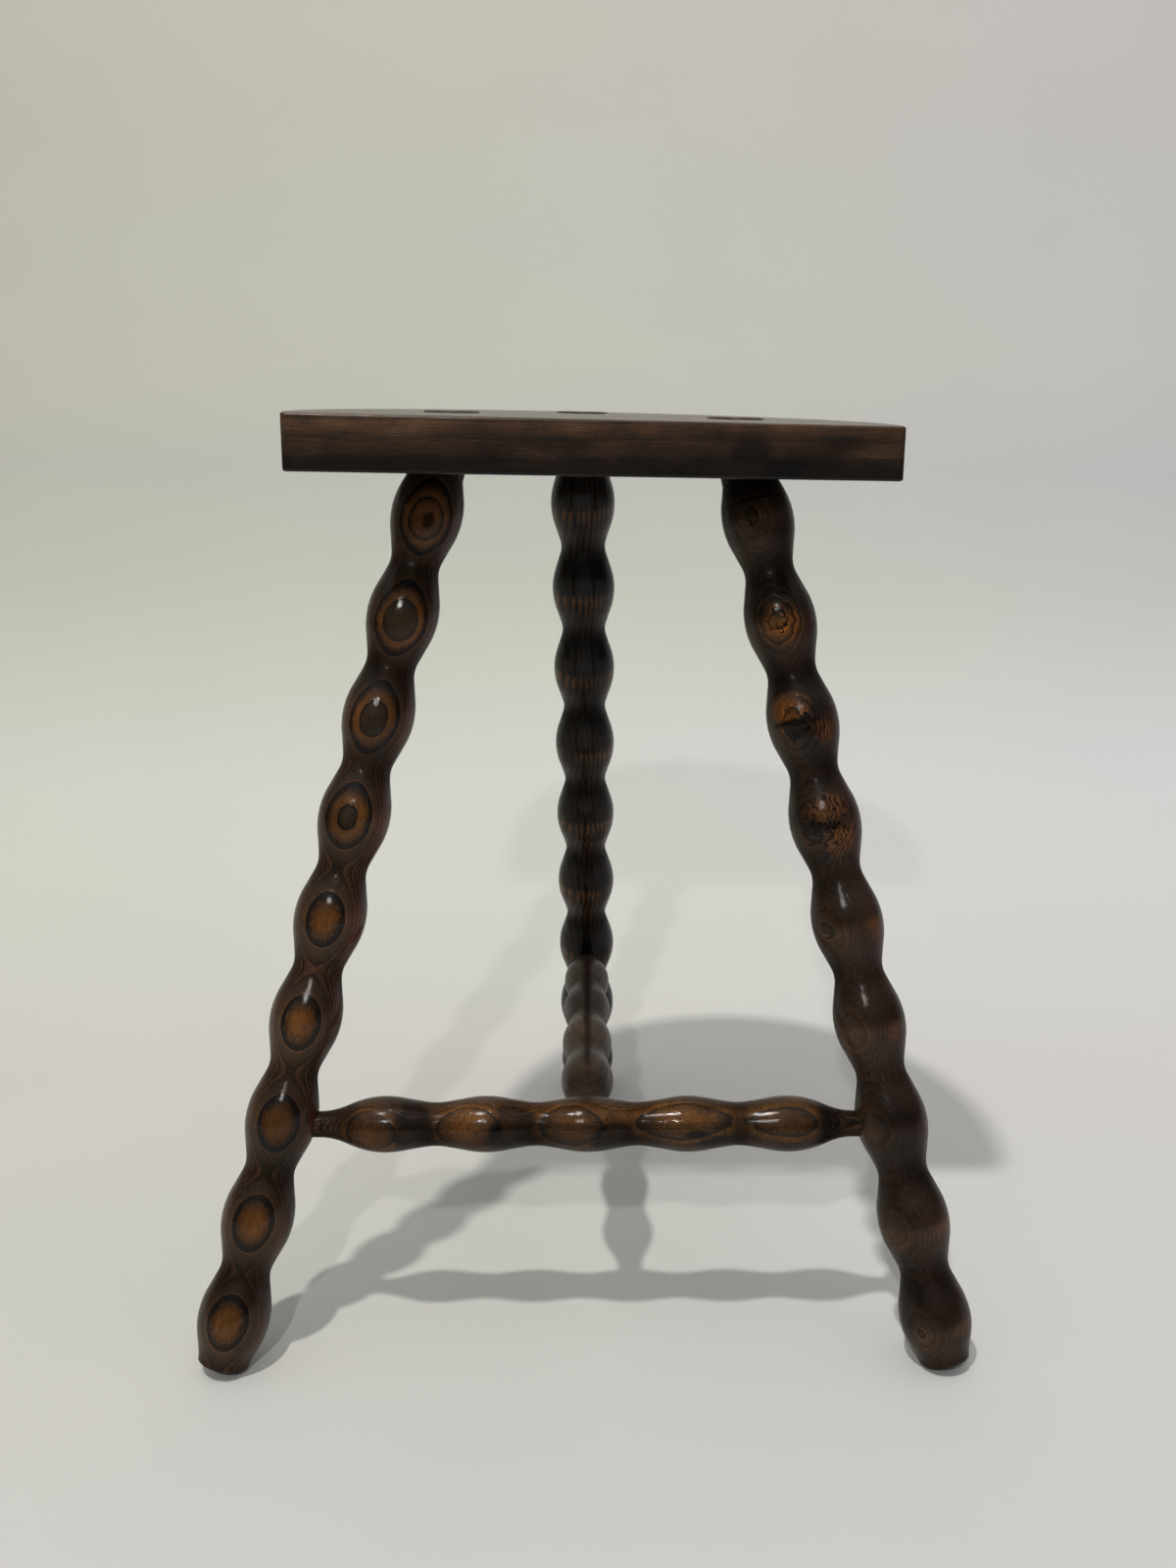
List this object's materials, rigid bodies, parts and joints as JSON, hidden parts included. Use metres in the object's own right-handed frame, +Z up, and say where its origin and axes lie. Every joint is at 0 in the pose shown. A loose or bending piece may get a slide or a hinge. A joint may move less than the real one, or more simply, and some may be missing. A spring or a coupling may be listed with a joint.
{
  "type": "bobbin stool",
  "caption": "Low tripod stool: a half-moon board seat on splayed bobbin-turned legs, wedged through the seat and braced near the floor by bobbin-turned stretchers in a T.",
  "frame": {"origin": "on the floor, in the middle of the stool's length and width", "axes": "+Z up; -Y towards the straight front edge of the seat and the two front legs; +X towards the right front leg"},
  "size_m": [0.3937, 0.3484, 0.4711],
  "materials": {
    "seat_wood": "dark brown stain, worn satin varnish",
    "leg_wood": "dark brown stain, gloss varnish over bold softwood grain",
    "stretcher_wood": "dark brown stain, gloss varnish",
    "wedge_wood": "dark brown stain, satin varnish"
  },
  "bodies": {
    "root": {"seat_board": "seat_wood", "leg_front_left": "leg_wood", "leg_front_right": "leg_wood", "leg_rear": "leg_wood", "stretcher_front": "stretcher_wood", "stretcher_rear": "stretcher_wood", "wedge_front_left": "wedge_wood", "wedge_front_right": "wedge_wood", "wedge_rear": "wedge_wood"}
  },
  "joints": []
}
